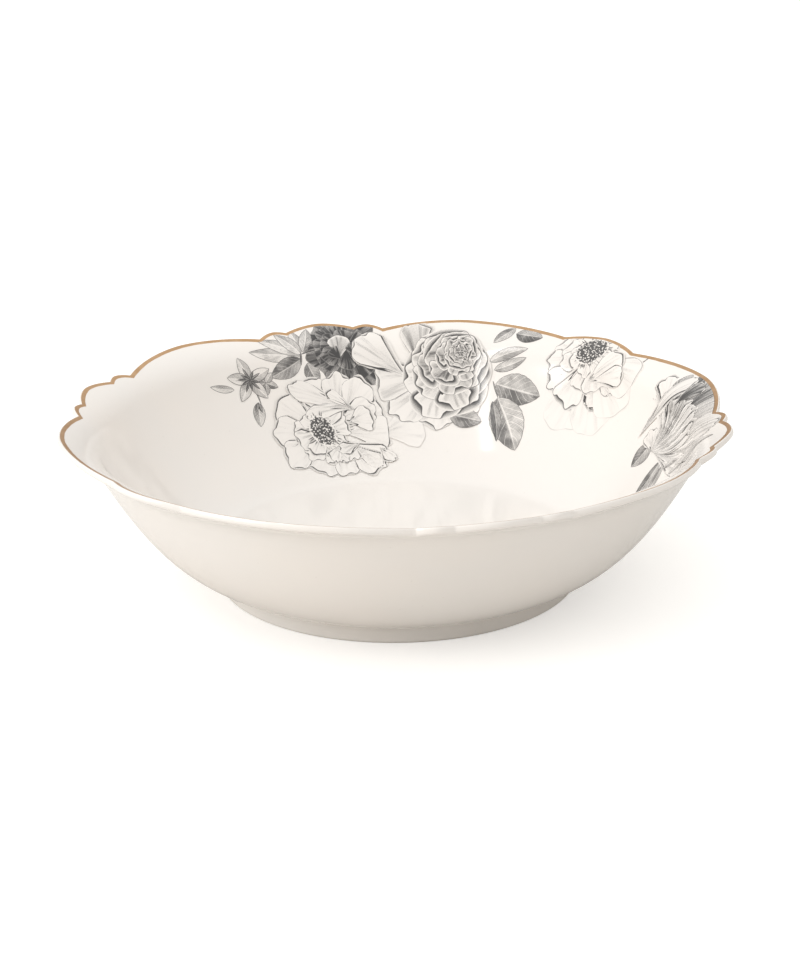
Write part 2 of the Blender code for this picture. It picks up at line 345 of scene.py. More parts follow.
def glazed(name, ink_of=None):
    """A glazed material. ink_of gives, from the tree, the mask and the colour of its print."""
    material = bpy.data.materials.new(name)
    material.use_nodes = True
    tree = material.node_tree
    shader = tree.nodes["Principled BSDF"]
    body = node(tree, "ShaderNodeGroup", node_tree=glazed_paste)
    colour = body.outputs["Colour"]
    if ink_of:
        mask, ink = ink_of(tree)
        colour = blend_colour(tree, mask, colour, ink)
    bump = node(tree, "ShaderNodeBump", {"Height": body.outputs["Height"], "Distance": GLAZE_WAVE})
    tree.links.new(colour, shader.inputs["Base Color"])
    tree.links.new(body.outputs["Roughness"], shader.inputs["Roughness"])
    tree.links.new(bump.outputs["Normal"], shader.inputs["Normal"])
    shader.inputs["IOR"].default_value = 1.52
    return material


shell_profile = inner_profile + nose_profile + outer_profile + under_profile
shell = turn_profile("porcelain_shell", shell_profile, SHELL_STEPS)
cut_lobes(shell)
shell.data.materials.append(glazed("white glaze"))
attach(shell, "root")
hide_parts("bowl_shell")


# Foot ring: thrown from the same paste, luted on with slip and glazed with the bowl. Its top
# runs up inside the wall, and the edge it stands on is wiped bare and left matt.
FOOT_RADIUS = 0.0691
FOOT_BACK = 0.0638
BARE_EDGE = 0.0007
FOOT_SHOULDER = (0.0698, 0.0072)

foot_profile = (
    [Vector((FOOT_BACK + 0.0012, 0.0)), Vector((FOOT_RADIUS - 0.0009, 0.0))]
    + stretch((FOOT_RADIUS - 0.0007, 0.0), 0.0004, 0.0, (FOOT_RADIUS, 0.0008), 0.0004, 90.0, 4)
    + stretch((FOOT_RADIUS, 0.0008), 0.0030, 90.0, FOOT_SHOULDER, 0.0015, 72.0, 12)
    + [Vector(FOOT_SHOULDER), Vector((0.0701, 0.0084)), Vector((0.0640, 0.0078))]
    + stretch((0.0625, 0.0066), 0.0006, 300.0, (FOOT_BACK, 0.0040), 0.0015, 275.0, 5)
    + stretch((FOOT_BACK, 0.0040), 0.0016, 272.0, (FOOT_BACK + 0.0010, 0.00004), 0.0006, 340.0, 5)
)
foot = turn_profile("foot_rim", foot_profile, SHELL_STEPS, closed=True)

bisque = glazed("glaze with a bare edge")
tree = bisque.node_tree
shader = tree.nodes["Principled BSDF"]
place = node(tree, "ShaderNodeTexCoord").outputs["Object"]
height = node(tree, "ShaderNodeSeparateXYZ", {0: place}).outputs["Z"]
grit = noise(tree, place, 1400.0, 2.0)
edge_line = sum_of(tree, "MULTIPLY_ADD", grit, 0.0005, height)
bare = ramp(tree, edge_line, BARE_EDGE + 0.00035, BARE_EDGE + 0.00015)
glaze_colour = shader.inputs["Base Color"].links[0].from_socket
glaze_rough = shader.inputs["Roughness"].links[0].from_socket
bare_colour = blend_colour(tree, grit, (0.70, 0.66, 0.60, 1), (0.82, 0.79, 0.74, 1))
tree.links.new(blend_colour(tree, bare, glaze_colour, bare_colour), shader.inputs["Base Color"])
matt = node(tree, "ShaderNodeMix", {0: bare, 2: glaze_rough, 3: 0.62})
tree.links.new(matt.outputs[0], shader.inputs["Roughness"])
foot.data.materials.append(bisque)
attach(foot, "root")
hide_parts("foot_ring")


# Rim gilding: a band of burnished gold on top of the lip, laid on with a brush while the bowl
# turns and then fired, so its inner edge wavers a little and it is a few hundredths thick.
GILT_WIDTH = 0.0016
GILT_PROUD = 0.00005
GILT_WAVER = 0.00012

gilt_radii = [CREST - GILT_WIDTH + GILT_WIDTH * i / 6 for i in range(7)]
gilt_top = [
    Vector((r, height_at(inner_curve, r) + GILT_PROUD * min(1.0, i, 6.4 - i)))
    for i, r in enumerate(gilt_radii)
]
gilt_under = [Vector((r, height_at(inner_curve, r) - 2 * GILT_PROUD)) for r in gilt_radii[::-2]]
gilding = turn_profile("gilt_band", gilt_top + gilt_under, SHELL_STEPS, closed=True)
for vertex in gilding.data.vertices:
    radius = hypot(vertex.co.x, vertex.co.y)
    angle = atan2(vertex.co.y, vertex.co.x)
    inwards = max(0.0, 1 - (radius - (CREST - GILT_WIDTH)) / (0.6 * GILT_WIDTH))
    waver = sin(23 * angle) + 0.6 * sin(57 * angle + 1.3) + 0.4 * sin(131 * angle + 0.4)
    moved = radius + inwards * GILT_WAVER * waver / 2
    vertex.co.x *= moved / radius
    vertex.co.y *= moved / radius
    vertex.co.z += height_at(inner_curve, moved) - height_at(inner_curve, radius)
cut_lobes(gilding)

gold = bpy.data.materials.new("burnished gold")
gold.use_nodes = True
tree = gold.node_tree
shader = tree.nodes["Principled BSDF"]
place = node(tree, "ShaderNodeTexCoord").outputs["Object"]
patch = noise(tree, place, 220.0, 3.0)
grain = noise(tree, place, 2600.0, 2.0)
tone = ramp(tree, patch, 0.35, 0.7)
gold_colour = blend_colour(tree, tone, (0.51, 0.31, 0.16, 1), (0.58, 0.375, 0.215, 1))
tree.links.new(gold_colour, shader.inputs["Base Color"])
worn = sum_of(tree, "MULTIPLY_ADD", patch, 0.22, 0.24)
tree.links.new(sum_of(tree, "MULTIPLY_ADD", grain, 0.08, worn), shader.inputs["Roughness"])
bump = node(tree, "ShaderNodeBump", {"Height": grain, "Distance": 0.00003})
tree.links.new(bump.outputs["Normal"], shader.inputs["Normal"])
shader.inputs["Metallic"].default_value = 1.0
gilding.data.materials.append(gold)
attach(gilding, "root")
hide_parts("rim_gilding")


# Transfers: each flower is a ceramic print on a film, cut round its outline, slid on wet,
# squeegeed flat and fired until its ink sinks into the glaze. The plates are drawn as line
# engravings: every petal or leaf is a fan or a blade that lies over the ones behind it.
CELL = 0.0011
LAYER = 0.000014
FILM_LIFT = 0.00003
OVERLAP_LIFT = 20 * LAYER  # of a film that lies over its neighbours
GILT_LAP = 0.93  # share of the gilding's width that a film stops short of the crest
SLOPE_STEP = 0.0003
LEAF_TEETH = 7

slope_run = [0.0]
for low, high in zip(inner_profile, inner_profile[1:]):
    slope_run.append(slope_run[-1] + (high - low).length)
run_by_height = inner_curve[1], slope_run
radius_by_run = slope_run, inner_curve[0]
height_by_run = slope_run, inner_curve[1]


def blank(name, width, length):
    """A flat plate of small cells, with u from -1 to 1 across it and v from 0 to 1 along it."""
    columns, rows = max(6, ceil(width / CELL)), max(6, ceil(length / CELL))
    bpy.ops.mesh.primitive_grid_add(x_subdivisions=columns, y_subdivisions=rows, size=1.0)
    plate = bpy.context.object
    plate.name = name
    return plate


def engrave(plate, outline, at, turn, layer, tone, line, seed, shade=0.0):
    """Draws a plate. outline(u, v) gives the place, the gap to the edge and the run across."""
    side, up = cos(radians(turn)), sin(radians(turn))
    gaps, runs = [], []
    for vertex in plate.data.vertices:
        x, y, gap, across = outline(2 * vertex.co.x, vertex.co.y + 0.5)
        vertex.co = (at[0] + x * side - y * up, at[1] + x * up + y * side, layer * LAYER)
        gaps.append(gap)
        runs.append(across)
    same = [1.0] * len(gaps)
    marks = {"tone": tone, "line": line, "seed": seed, "shade": shade}
    marks = {mark: [value * n for n in same] for mark, value in marks.items()}
    marks.update(gap=gaps, across=runs)
    for name, values in marks.items():
        plate.data.attributes.new(name, "FLOAT", "POINT").data.foreach_set("value", values)
    return plate


def petal(at, turn, length, spread, layer, tone=0.1, **looks):
    """A petal from its base at a point: a fan with a round, ruffled crown, swept to one side."""
    crown, ruffle, waves = looks.get("crown", 0.38), looks.get("ruffle", 0.025), looks.get("waves", 1.4)
    sweep, seed, half = radians(looks.get("sweep", 0.0)), looks.get("seed", 0.0), radians(spread)

    def outline(u, v):
        lobe = 1 - crown * (1 - sqrt(max(0.0, 1 - abs(u) ** 2.6)))
        wave = ruffle * (sin(waves * pi * u + seed * 5) + 0.5 * sin(2.3 * waves * pi * u + seed * 9)) * v**3
        run = length * v * (lobe + wave)
        swing = half * u * (0.75 + 0.25 * v) + sweep * v * v
        gap = min((1 - abs(u)) * half * run, (1 - v) * length)
        return run * sin(swing), run * cos(swing), 1000 * gap, 1000 * u * half * length * 0.8

    plate = blank("petal", 2 * half * length, length)
    line, shade = looks.get("line", 1.0), looks.get("shade", 1.1)
    return engrave(plate, outline, at, turn, layer, tone, line, seed, shade)


def leaf(at, turn, length, width, layer, tone=0.6, bend=0.0, serration=0.05):
    """A leaf from its stalk at a point: a blade with a bent midrib and a toothed edge."""
    def outline(u, v):
        spread = sin(pi * min(1.0, v**0.85)) ** 0.75 * (1 + serration * ((LEAF_TEETH * v) % 1.0 - 0.5))
        x = u * width / 2 * spread + bend * length * (v * v - v)
        gap = min((1 - abs(u)) * width / 2 * spread, (1 - v) * length, v * length)
        return x, v * length, 1000 * gap, 1000 * u * width / 2

    plate = blank("leaf", width, length)
    return engrave(plate, outline, at, turn, layer, tone, 1.0, 0.0)


def ring_of_petals(at, count, length, spread, layer, first=0.0, squash=1.0, lean=0.0, vary=0.10, **looks):
    """Petals round a heart, seen from one side: those on the side of lean are longer."""
    made = []
    for i in range(count):
        turn = first + 360.0 * i / count + 9 * sin(2.4 * i + count)
        towards = cos(radians(turn - lean))
        reach_out = length * (1 + vary * sin(1.7 * i + 2 * count)) * (1 - (1 - squash) * (1 - towards) / 2)
        looks["seed"] = 0.37 * i + 0.11 * count
        sweep = 7 * sin(3.1 * i + count)
        made.append(petal(at, turn, reach_out, spread, layer + i % 3, sweep=sweep, **looks))
    return made


def lay_film(name, plates, angle, height, lift):
    """Joins a transfer's plates, lays the sheet on the inner wall and trims it along the gilding."""
    bpy.ops.object.select_all(action="DESELECT")
    for plate in plates:
        plate.select_set(True)
    bpy.context.view_layer.objects.active = plates[0]
    bpy.ops.object.join()
    film = plates[0]
    film.name = name
    middle_run = height_at(run_by_height, height)
    beyond = []
    for vertex in film.data.vertices:
        run = middle_run + vertex.co.y
        radius = height_at(radius_by_run, run)
        bearing = angle - degrees(vertex.co.x / radius)
        limit = RIM_RADIUS * reach(bearing) - LIP_NOSE - GILT_LAP * GILT_WIDTH
        beyond.append(radius > limit)
        if radius > limit:
            radius, rise = limit, height_at(inner_curve, limit)
        else:
            rise = height_at(height_by_run, run)
        above = height_at(inner_curve, radius + SLOPE_STEP)
        below = height_at(inner_curve, radius - SLOPE_STEP)
        slope = atan2(above - below, 2 * SLOPE_STEP)
        stand = lift + vertex.co.z
        radius -= stand * sin(slope)
        rise += stand * cos(slope)
        vertex.co = (radius * cos(radians(bearing)), radius * sin(radians(bearing)), rise)
    bpy.ops.object.mode_set(mode="EDIT")
    bpy.ops.mesh.select_all(action="DESELECT")
    bpy.ops.object.mode_set(mode="OBJECT")
    for face in film.data.polygons:
        face.select = all(beyond[corner] for corner in face.vertices)
    bpy.ops.object.mode_set(mode="EDIT")
    bpy.ops.mesh.select_mode(type="FACE")
    bpy.ops.mesh.delete(type="FACE")
    bpy.ops.object.mode_set(mode="OBJECT")
    bpy.ops.object.shade_smooth()
    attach(film, "root")
    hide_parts(name.replace("_print", "_transfer"))


def marks_of(tree):
    """What the plate says at a place: (u, v, tone, line, seed, gap, across)."""
    place = node(tree, "ShaderNodeSeparateXYZ", {0: node(tree, "ShaderNodeTexCoord").outputs["UV"]})
    u = sum_of(tree, "MULTIPLY_ADD", place.outputs["X"], 2.0, -1.0)
    names = ("tone", "line", "seed", "gap", "across")
    read = [node(tree, "ShaderNodeAttribute", attribute_name=name).outputs["Fac"] for name in names]
    return [u, place.outputs["Y"]] + read


def hatching_group():
    """Engraver's line work: even lines that swell with the tone, broken by the plate's grain."""
    tree = bpy.data.node_groups.new("hatching", "ShaderNodeTree")
    for name in ("Tone", "Across", "Pitch"):
        tree.interface.new_socket(name, in_out="INPUT", socket_type="NodeSocketFloat")
    tree.interface.new_socket("Ink", in_out="OUTPUT", socket_type="NodeSocketFloat")
    given = node(tree, "NodeGroupInput").outputs
    place = node(tree, "ShaderNodeTexCoord").outputs["Object"]
    waver = noise(tree, place, 260.0, 2.0)
    broken = noise(tree, place, 2400.0, 1.0)
    turns = sum_of(tree, "DIVIDE", given["Across"], given["Pitch"])
    turns = sum_of(tree, "MULTIPLY_ADD", waver, 2.2, turns)
    crest = sum_of(tree, "SINE", sum_of(tree, "MULTIPLY", turns, 2 * pi))
    crest = sum_of(tree, "MULTIPLY_ADD", crest, 0.32, 0.5)
    crest = sum_of(tree, "MULTIPLY_ADD", broken, 0.36, crest)
    over = sum_of(tree, "SUBTRACT", given["Tone"], sum_of(tree, "SUBTRACT", crest, 0.18))
    ink = ramp(tree, over, -0.10, 0.12)
    out = node(tree, "NodeGroupOutput")
    tree.links.new(ink, out.inputs["Ink"])
    return tree


hatching = hatching_group()
INK = (0.020, 0.018, 0.018, 1)
HATCH_PITCH = 0.42


def petal_ink(tree):
    """Dark at the base and in the folds, light along the turned rim, with a drawn edge and, in
    places, short strokes outside it, where the petal shades what lies under it."""
    u, v, tone, line, seed, gap, across = marks_of(tree)
    shade = node(tree, "ShaderNodeAttribute", attribute_name="shade").outputs["Fac"]
    along = {0: sum_of(tree, "MULTIPLY", u, 2.6), 1: sum_of(tree, "MULTIPLY", v, 0.8)}
    along[2] = sum_of(tree, "MULTIPLY", seed, 9.0)
    along = node(tree, "ShaderNodeCombineXYZ", along).outputs[0]
    fold = noise(tree, along, 1.6, 2.5)
    weight = noise(tree, along, 0.9, 0.0)
    zone = sum_of(tree, "MULTIPLY", shade, ramp(tree, weight, 0.34, 0.60))
    inner = sum_of(tree, "SUBTRACT", gap, zone)

    base = sum_of(tree, "POWER", sum_of(tree, "SUBTRACT", 1.0, v, clamp=True), 1.5)
    depth = sum_of(tree, "MULTIPLY_ADD", base, 0.75, ramp(tree, fold, 0.42, 0.72, -0.12, 0.42))
    depth = sum_of(tree, "MULTIPLY", depth, sum_of(tree, "MULTIPLY_ADD", tone, 1.1, 0.40))
    body = sum_of(tree, "MULTIPLY_ADD", tone, 0.9, depth)
    turned = sum_of(tree, "MAXIMUM", ramp(tree, inner, 0.2, 1.6, 0.35, 1.0), ramp(tree, tone, 0.6, 0.9))
    body = sum_of(tree, "MULTIPLY", body, turned)
    cast = sum_of(tree, "DIVIDE", gap, sum_of(tree, "MAXIMUM", zone, 0.01))
    cast = sum_of(tree, "MULTIPLY", sum_of(tree, "MULTIPLY", cast, line), 0.72)
    outside = ramp(tree, inner, 0.0, -0.02)
    toned = node(tree, "ShaderNodeMix", {0: outside, 2: body, 3: cast}).outputs[0]
    hatch = {"Tone": toned, "Across": across, "Pitch": HATCH_PITCH}
    lines = node(tree, "ShaderNodeGroup", hatch, node_tree=hatching).outputs["Ink"]
    flat = sum_of(tree, "MULTIPLY", toned, 0.85, clamp=True)
    lines = node(tree, "ShaderNodeMix", {0: 0.5, 2: flat, 3: lines}).outputs[0]
    thick = ramp(tree, weight, 0.35, 0.7, 0.04, 0.18)
    off_edge = sum_of(tree, "SUBTRACT", sum_of(tree, "ABSOLUTE", inner), thick)
    edge = sum_of(tree, "MULTIPLY", ramp(tree, off_edge, 0.14, 0.0), line)
    ink = sum_of(tree, "MAXIMUM", lines, edge, clamp=True)
    pale = sum_of(tree, "MULTIPLY", ramp(tree, tone, 0.75, 0.9), ramp(tree, gap, 0.6, 0.1, 0.0, 0.14))
    return sum_of(tree, "SUBTRACT", sum_of(tree, "MULTIPLY", ink, 0.97), pale, clamp=True), INK


def leaf_ink(tree):
    """Grey blade with a light midrib and side veins, one half darker than the other."""
    u, v, tone, line, _, gap, _ = marks_of(tree)
    off = sum_of(tree, "ABSOLUTE", u)
    vein_run = sum_of(tree, "MULTIPLY", v, 7.0)
    vein_run = sum_of(tree, "SUBTRACT", vein_run, sum_of(tree, "MULTIPLY", off, 2.0))
    vein = sum_of(tree, "ABSOLUTE", sum_of(tree, "SINE", sum_of(tree, "MULTIPLY", vein_run, pi)))
    vein = ramp(tree, vein, 0.0, 0.30, 0.30, 0.0)
    rib = ramp(tree, off, 0.02, 0.10, 0.42, 0.0)
    half = ramp(tree, u, -0.15, 0.15, -0.10, 0.16)
    place = node(tree, "ShaderNodeTexCoord").outputs["Object"]
    mottle = ramp(tree, noise(tree, place, 190.0, 3.0), 0.3, 0.7, -0.20, 0.14)
    shade = sum_of(tree, "ADD", sum_of(tree, "ADD", tone, half), mottle)
    shade = sum_of(tree, "SUBTRACT", shade, sum_of(tree, "MAXIMUM", vein, rib))
    across = sum_of(tree, "MULTIPLY", vein_run, 2.0)
    hatch = {"Tone": shade, "Across": across, "Pitch": HATCH_PITCH}
    lines = node(tree, "ShaderNodeGroup", hatch, node_tree=hatching).outputs["Ink"]
    flat = sum_of(tree, "MULTIPLY", shade, 0.9, clamp=True)
    lines = node(tree, "ShaderNodeMix", {0: 0.45, 2: flat, 3: lines}).outputs[0]
    edge = sum_of(tree, "MULTIPLY", ramp(tree, gap, 0.30, 0.12), line)
    return sum_of(tree, "MULTIPLY", sum_of(tree, "MAXIMUM", lines, edge, clamp=True), 0.94), INK


def stamen_ink(tree):
    """Pollen heads: light grains in black, thinning out at the cluster's edge."""
    gap = node(tree, "ShaderNodeAttribute", attribute_name="gap").outputs["Fac"]
    place = node(tree, "ShaderNodeTexCoord").outputs["Object"]
    grains = node(tree, "ShaderNodeTexVoronoi", {"Vector": place, "Scale": 1150.0}).outputs["Distance"]
    solid = ramp(tree, grains, 0.26, 0.48)
    ragged = noise(tree, place, 900.0, 2.0)
    inside = ramp(tree, sum_of(tree, "MULTIPLY_ADD", ragged, -3.2, gap), -1.3, -0.6)
    return sum_of(tree, "MULTIPLY", sum_of(tree, "MULTIPLY", solid, inside), 0.93), INK


petal_print = glazed("engraved petals", petal_ink)
leaf_print = glazed("engraved leaves", leaf_ink)
stamen_print = glazed("engraved stamens", stamen_ink)


def inked(plates, material):
    for plate in plates:
        plate.data.materials.append(material)
    return plates


def stamens(at, turn, length, width, layer):
    """An oval cluster of pollen heads with a fringe of filaments round it."""
    def oval(u, v):
        x, y = v * width / 2 * sin(pi * u), v * length / 2 * cos(pi * u)
        return x, y, 1000 * (1 - v) * width / 2, 0.0

    heads = engrave(blank("heads", 2 * length, width / 2), oval, at, turn, layer + 1, 0.9, 1.0, 0.0)
    fringe = []
    for i in range(26):
        swing = 360.0 * i / 26 + 5 * sin(4 * i)
        x, y = width * 0.36 * sin(radians(swing)), length * 0.36 * cos(radians(swing))
        side, up = cos(radians(turn)), sin(radians(turn))
        start = (at[0] + x * side - y * up, at[1] + x * up + y * side)
        longer = 0.0030 + 0.0012 * sin(7 * i)
        fringe.append(leaf(start, turn - swing, longer, 0.00045, layer, tone=1.0, serration=0.0))
    return inked([heads], stamen_print) + inked(fringe, leaf_print)


def spot(anchor, angle, height):
    """Where a place of the wall, by angle and height, lies on a flat sheet laid round an anchor."""
    run = height_at(run_by_height, height)
    across = radians(anchor[0] - angle) * height_at(radius_by_run, run)
    return across, run - height_at(run_by_height, anchor[1])


# Rim leaves: a pale compound leaf that is cut off by the gilding, with darker ones below it.
anchor = (111.0, 0.0567)
plates = [
    leaf((0.0, 0.0), 79, 0.0235, 0.0068, 0, tone=0.40, bend=0.14),
    leaf((0.0, 0.0), 61, 0.0200, 0.0062, 1, tone=0.46, bend=-0.06),
    leaf((0.0, 0.0), 38, 0.0150, 0.0060, 2, tone=0.40, bend=-0.10),
    leaf((0.0005, 0.001), 10, 0.0120, 0.0060, 0, tone=0.50, bend=0.10),
    leaf((0.001, 0.001), -22, 0.0130, 0.0058, 1, tone=0.52, bend=-0.10),
    leaf((-0.0005, -0.002), 112, 0.0160, 0.0088, 2, tone=0.74, bend=0.12),
    leaf((0.0020, -0.004), -160, 0.0100, 0.0068, 1, tone=0.78, bend=-0.10),
    leaf((0.0, 0.001), 172, 0.0060, 0.0010, 3, tone=0.9, serration=0.0),
    leaf((0.0, 0.0), -80, 0.0110, 0.0011, 3, tone=0.9, bend=0.2, serration=0.0),
]
lay_film("rim_leaf_print", inked(plates, leaf_print), *anchor, FILM_LIFT)


# Star flower: a small spray, with one open flower of five pointed petals and two buds.
anchor = (124.4, 0.0502)
plates = [leaf((-0.0085, -0.0026), 72, 0.0120, 0.0034, 0, tone=0.42, bend=0.10, serration=0.0)]
plates += [leaf((0.0005, -0.001), 186, 0.0110, 0.0008, 0, tone=0.9, bend=0.12, serration=0.0)]
plates += [leaf((0.0006, -0.0100), 166, 0.0110, 0.0056, 1, tone=0.50, serration=0.0)]
for turn in (148, 184):
    plates.append(leaf((0.0006, -0.0100), turn, 0.0048, 0.0018, 2, tone=0.8, serration=0.0))
for i in range(5):
    turn = 25 + 72 * i
    plates.append(leaf((0.0068, -0.0024), turn, 0.0058, 0.0036, 2 + i % 3, tone=0.62, serration=0.0))
for i, turn in enumerate((14, 74, 140, 212, 288)):
    plates.append(leaf((0.0, 0.0), turn, 0.0108, 0.0054, 5 + i % 3, tone=0.38, serration=0.0))
    plates.append(leaf((0.0, 0.0), turn + 4, 0.0060, 0.0013, 8, tone=0.9, serration=0.0))
    plates.append(leaf((0.0, 0.0), turn + 36, 0.0046, 0.0014, 9, tone=1.0, serration=0.0))
lay_film("star_flower_print", inked(plates, leaf_print), *anchor, FILM_LIFT)


# Dark peony: close petals in nearly solid ink, told apart by fine light edges, round a
# paler heart.
anchor = (101.0, 0.0570)
dark = {"tone": 0.98, "shade": 0.0, "ruffle": 0.04}
plates = ring_of_petals((0.0, 0.0), 9, 0.0175, 33, 0, first=8, lean=-90, squash=0.92, **dark)
plates += ring_of_petals((0.0, 0.0), 7, 0.0140, 36, 3, first=30, **dark)
plates += ring_of_petals((0.0, 0.0005), 6, 0.0105, 38, 6, first=0, **dark)
plates += [petal((-0.0030, -0.0045), -4, 0.0115, 38, 9, tone=0.40, shade=0.0, seed=0.3)]
plates += [petal((-0.0020, -0.0045), 40, 0.0070, 34, 10, seed=0.8, **dark)]
plates += [petal((0.0040, -0.0030), 20, 0.0060, 40, 10, seed=0.1, **dark)]
lay_film("dark_peony_print", inked(plates, petal_print), *anchor, FILM_LIFT)


# White peony, the largest flower: open petals in outline, with hatching only at their bases.
# Each row is a petal's place from the anchor, turn, length, half angle and ruffle.
anchor = (107.5, 0.0282)
heart = (-0.0030, -0.0005)
outer = (
    (0.000, 0.004, 22, 0.0205, 30, 0.02), (0.004, 0.003, -8, 0.0215, 28, 0.05),
    (0.006, 0.002, -34, 0.0225, 28, 0.05),
    (0.005, 0.000, -60, 0.0215, 28, 0.03), (0.004, -0.002, -92, 0.0215, 28, 0.04),
    (0.004, -0.006, -122, 0.0205, 26, 0.03),
    (-0.003, 0.000, 52, 0.0240, 28, 0.02), (-0.003, 0.000, 84, 0.0225, 28, 0.02),
    (-0.003, -0.002, 118, 0.0215, 30, 0.03),
    (0.000, -0.004, 152, 0.0190, 32, 0.04), (0.004, -0.006, -176, 0.0175, 34, 0.05),
    (0.006, -0.006, -146, 0.0190, 32, 0.05),
)
plates = []
for i, (x, y, turn, length, spread, ruffle) in enumerate(outer):
    plates.append(petal((x, y), turn, length, spread, i % 3, tone=0.02, ruffle=ruffle, seed=0.23 * i))
plates += [petal((0.0030, 0.0030), -72, 0.0185, 30, 4, tone=0.04, seed=0.3)]
plates += [petal((-0.0020, 0.0020), 100, 0.0150, 32, 4, tone=0.05, seed=0.7)]
plates += [petal((-0.0020, -0.002), 140, 0.0140, 34, 5, tone=0.06, ruffle=0.05, seed=0.2)]
plates += ring_of_petals(heart, 6, 0.0120, 36, 6, first=40, tone=0.08, ruffle=0.05)
plates += [petal((0.0110, 0.0085), 64, 0.0290, 14, 9, tone=0.05, shade=1.4, crown=0.5, seed=0.35)]
plates += [petal((0.0130, 0.0075), 74, 0.0225, 13, 10, tone=0.10, shade=1.4, crown=0.5, sweep=-14, seed=0.62)]
inked(plates, petal_print)
plates += stamens((heart[0] - 0.0005, heart[1]), 26, 0.0160, 0.0105, 12)
folded = [petal((0.0125, 0.0075), 50, 0.0150, 15, 14, tone=0.04, crown=0.4, seed=0.4)]
folded += [petal((0.0080, 0.0020), -78, 0.0120, 44, 15, tone=0.05, crown=0.4, seed=0.7)]
for i in range(6):
    x, turn = -0.0035 + 0.0030 * i, 196 - 14 * i + 30 * sin(2 * i)
    length, looks = 0.0092 + 0.0012 * sin(3 * i), {"tone": 0.08, "ruffle": 0.07, "seed": 0.3 * i}
    folded.append(petal((x, -0.0075), turn, length, 34, 16 + i % 3, **looks))
folded += [petal((0.0190, -0.0100), -150, 0.0085, 36, 15, tone=0.03, crown=0.5, seed=0.6)]
ghost = petal((0.0200, -0.0040), -80, 0.0200, 36, 0, tone=0.0, line=0.10, shade=0.0, seed=0.5)
plates += inked(folded + [ghost], petal_print)
lay_film("white_peony_print", plates, *anchor, OVERLAP_LIFT)


# Grey rose: wide smooth petals in rings that shrink towards a tightly wound heart, pale on
# the outside and greyer within. Each ring is its centre's share of the way from the middle
# of the flower to the heart, the count, length, first turn and tone.
anchor = (79.0, 0.0460)
low_middle, bud = spot(anchor, 78.6, 0.0480), spot(anchor, 75.6, 0.0560)
rings = (
    (0.0, 5, 0.0200, 20, 0.16), (0.2, 5, 0.0178, 55, 0.30),
    (0.4, 4, 0.0153, 15, 0.44), (0.6, 4, 0.0126, 60, 0.48),
    (0.8, 4, 0.0100, 10, 0.48), (1.0, 3, 0.0077, 55, 0.54),
    (1.0, 3, 0.0054, 20, 0.62), (1.0, 3, 0.0033, 70, 0.75),
)
plates = []
guards = (
    (-150, 0.0235, 28, 0.06), (172, 0.0255, 28, 0.05), (134, 0.0290, 27, 0.08), (100, 0.0305, 24, 0.12),
)
for turn, length, spread, tone in guards:
    looks = {"tone": tone, "shade": 1.6, "seed": 0.01 * turn}
    plates.append(petal(low_middle, turn, length, spread, len(plates), **looks))
plates += [petal(spot(anchor, 86.5, 0.0450), 54, 0.0310, 21, 4, tone=0.12, shade=1.6, ruffle=0.02, seed=0.3)]
plates += [petal(spot(anchor, 83.5, 0.0460), 14, 0.0270, 22, 5, tone=0.34, shade=2.2, ruffle=0.02, seed=0.6)]
for step, (share, count, length, first, tone) in enumerate(rings):
    centre = [low + share * (high - low) for low, high in zip(low_middle, bud)]
    looks = {"tone": tone, "shade": 180 * length, "ruffle": 0.015, "crown": 0.26, "waves": 0.9, "line": 1.6}
    plates += ring_of_petals(centre, count, length, 215 / count, 6 + 3 * step, first=first, **looks)
inked(plates, petal_print)
low_leaf = leaf(spot(anchor, 76.6, 0.0325), -98, 0.0145, 0.0095, 3, tone=0.66, serration=0.0)
plates += inked([low_leaf], leaf_print)
lay_film("grey_rose_print", plates, *anchor, OVERLAP_LIFT)


# Leaf spray: rose leaves falling away to the right of the rose, the lowest one the largest.
anchor = (61.0, 0.0460)
plates = [
    leaf(spot(anchor, 65.2, 0.0648), 146, 0.0115, 0.0056, 0, tone=0.66, serration=0.0),
    leaf(spot(anchor, 64.6, 0.0634), -92, 0.0125, 0.0085, 1, tone=0.78, serration=0.0),
    leaf(spot(anchor, 68.8, 0.0530), -64, 0.0175, 0.0054, 2, tone=0.46, bend=0.16),
    leaf(spot(anchor, 67.4, 0.0500), -62, 0.0150, 0.0050, 3, tone=0.50, bend=-0.12),
    leaf(spot(anchor, 66.4, 0.0450), -97, 0.0215, 0.0140, 2, tone=0.66, bend=-0.06),
    leaf(spot(anchor, 65.2, 0.0400), -146, 0.0265, 0.0150, 4, tone=0.58, bend=0.08),
    leaf(spot(anchor, 66.3, 0.0385), -158, 0.0190, 0.0044, 5, tone=0.85, bend=0.14, serration=0.2),
    leaf(spot(anchor, 67.2, 0.0460), -150, 0.0085, 0.0008, 1, tone=0.8, serration=0.0),
]
lay_film("leaf_spray_print", inked(plates, leaf_print), *anchor, FILM_LIFT)


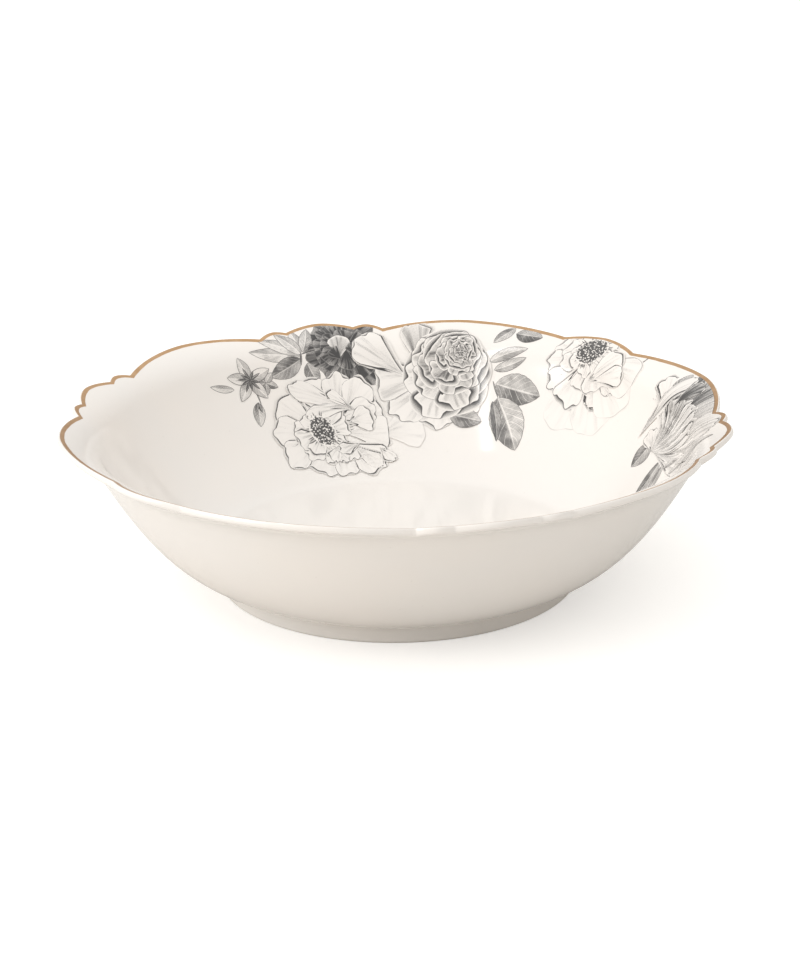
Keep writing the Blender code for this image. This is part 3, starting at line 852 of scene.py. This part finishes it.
# Pale peony: a flower cut off by the gilding, in outline, with its dark stamens at the rim.
# Each row is a petal's turn, length and line.
anchor = (44.0, 0.0540)
heart = spot(anchor, 45.5, 0.0600)
outer = (
    (178, 0.0330, 0.22), (-152, 0.0340, 0.22), (-124, 0.0320, 0.3), (-98, 0.0290, 0.5), (78, 0.0190, 0.8),
    (108, 0.0200, 0.9), (138, 0.0215, 1.2), (168, 0.0235, 1.4),
    (-166, 0.0250, 1.5), (-140, 0.0250, 1.5), (-112, 0.0240, 1.3),
)
plates = []
for i, (turn, length, line) in enumerate(outer):
    looks = {"tone": 0.02, "line": line, "shade": 1.6 * line, "seed": 0.27 * i}
    plates.append(petal(heart, turn, length, 27, i % 8, **looks))
plates += ring_of_petals(heart, 7, 0.0150, 34, 9, first=20, tone=0.06, line=0.8)
plates += ring_of_petals(heart, 6, 0.0100, 36, 12, first=0, tone=0.10, line=0.8)
inked(plates, petal_print)
plates += stamens(spot(anchor, 46.2, 0.0622), -30, 0.0150, 0.0135, 16)
cup = [petal(spot(anchor, 43.6, 0.0520), -38, 0.0190, 28, 19, tone=0.04, seed=0.4)]
cup += [petal(spot(anchor, 43.0, 0.0520), -66, 0.0170, 26, 20, tone=0.05, seed=0.1)]
plates += inked(cup, petal_print)
stalk = leaf(spot(anchor, 32.5, 0.0660), 160, 0.0170, 0.0006, 0, tone=0.9, bend=0.15, serration=0.0)
plates += inked([stalk], leaf_print)
lay_film("pale_peony_print", plates, *anchor, FILM_LIFT)


# Striped rose: half a rose running off the rim, drawn in bold dark sweeps from a low base.
# Each row is a petal's turn, length, half angle and tone.
anchor = (8.0, 0.0500)
base = spot(anchor, 12.0, 0.0395)
sweeps = (
    (30, 0.0380, 11, 0.10), (-88, 0.0420, 9, 0.16), (-76, 0.0500, 9, 0.20),
    (-64, 0.0500, 9, 0.30), (-52, 0.0480, 10, 0.22),
    (-41, 0.0450, 10, 0.42), (-30, 0.0430, 10, 0.38), (-19, 0.0410, 10, 0.84),
    (-8, 0.0400, 10, 0.74), (4, 0.0390, 10, 1.0),
    (15, 0.0370, 9, 0.80),
)
plates = []
for i, (turn, length, spread, tone) in enumerate(sweeps):
    looks = {"tone": tone, "crown": 0.3, "sweep": -10, "shade": 1.8, "seed": 0.29 * i}
    plates.append(petal(base, turn, length, spread, i, **looks))
for i, (turn, length, spread, tone) in enumerate(sweeps[2:]):
    looks = {"tone": 0.7 * tone, "sweep": -16, "shade": 1.8, "seed": 0.4 * i}
    plates.append(petal(base, turn + 5, 0.60 * length, spread, 11 + i, **looks))
looks = {"tone": 0.14, "crown": 0.5, "shade": 1.8, "sweep": 8, "seed": 0.6}
plates.append(petal(spot(anchor, 20.5, 0.0400), -2, 0.0340, 12, 21, **looks))
looks = {"tone": 0.85, "crown": 0.45, "shade": 1.2, "seed": 0.9}
plates.append(petal(spot(anchor, 14.0, 0.0560), -12, 0.0150, 28, 22, **looks))
plates.append(petal(base, 60, 0.0120, 34, 20, tone=0.12, crown=0.45, seed=0.2))
inked(plates, petal_print)
blades = [
    leaf(spot(anchor, 14.5, 0.0415), 172, 0.0125, 0.0100, 0, tone=0.74, serration=0.0),
    leaf(spot(anchor, 5.5, 0.0400), 190, 0.0200, 0.0085, 0, tone=0.76),
    leaf(spot(anchor, 3.0, 0.0400), 205, 0.0150, 0.0060, 1, tone=0.70),
    leaf(spot(anchor, 1.5, 0.0390), -40, 0.0360, 0.0058, 2, tone=0.60, bend=0.06),
    leaf(spot(anchor, -4.0, 0.0400), -38, 0.0360, 0.0052, 3, tone=0.54, bend=0.05),
]
plates += inked(blades, leaf_print)
lay_film("striped_rose_print", plates, *anchor, FILM_LIFT)
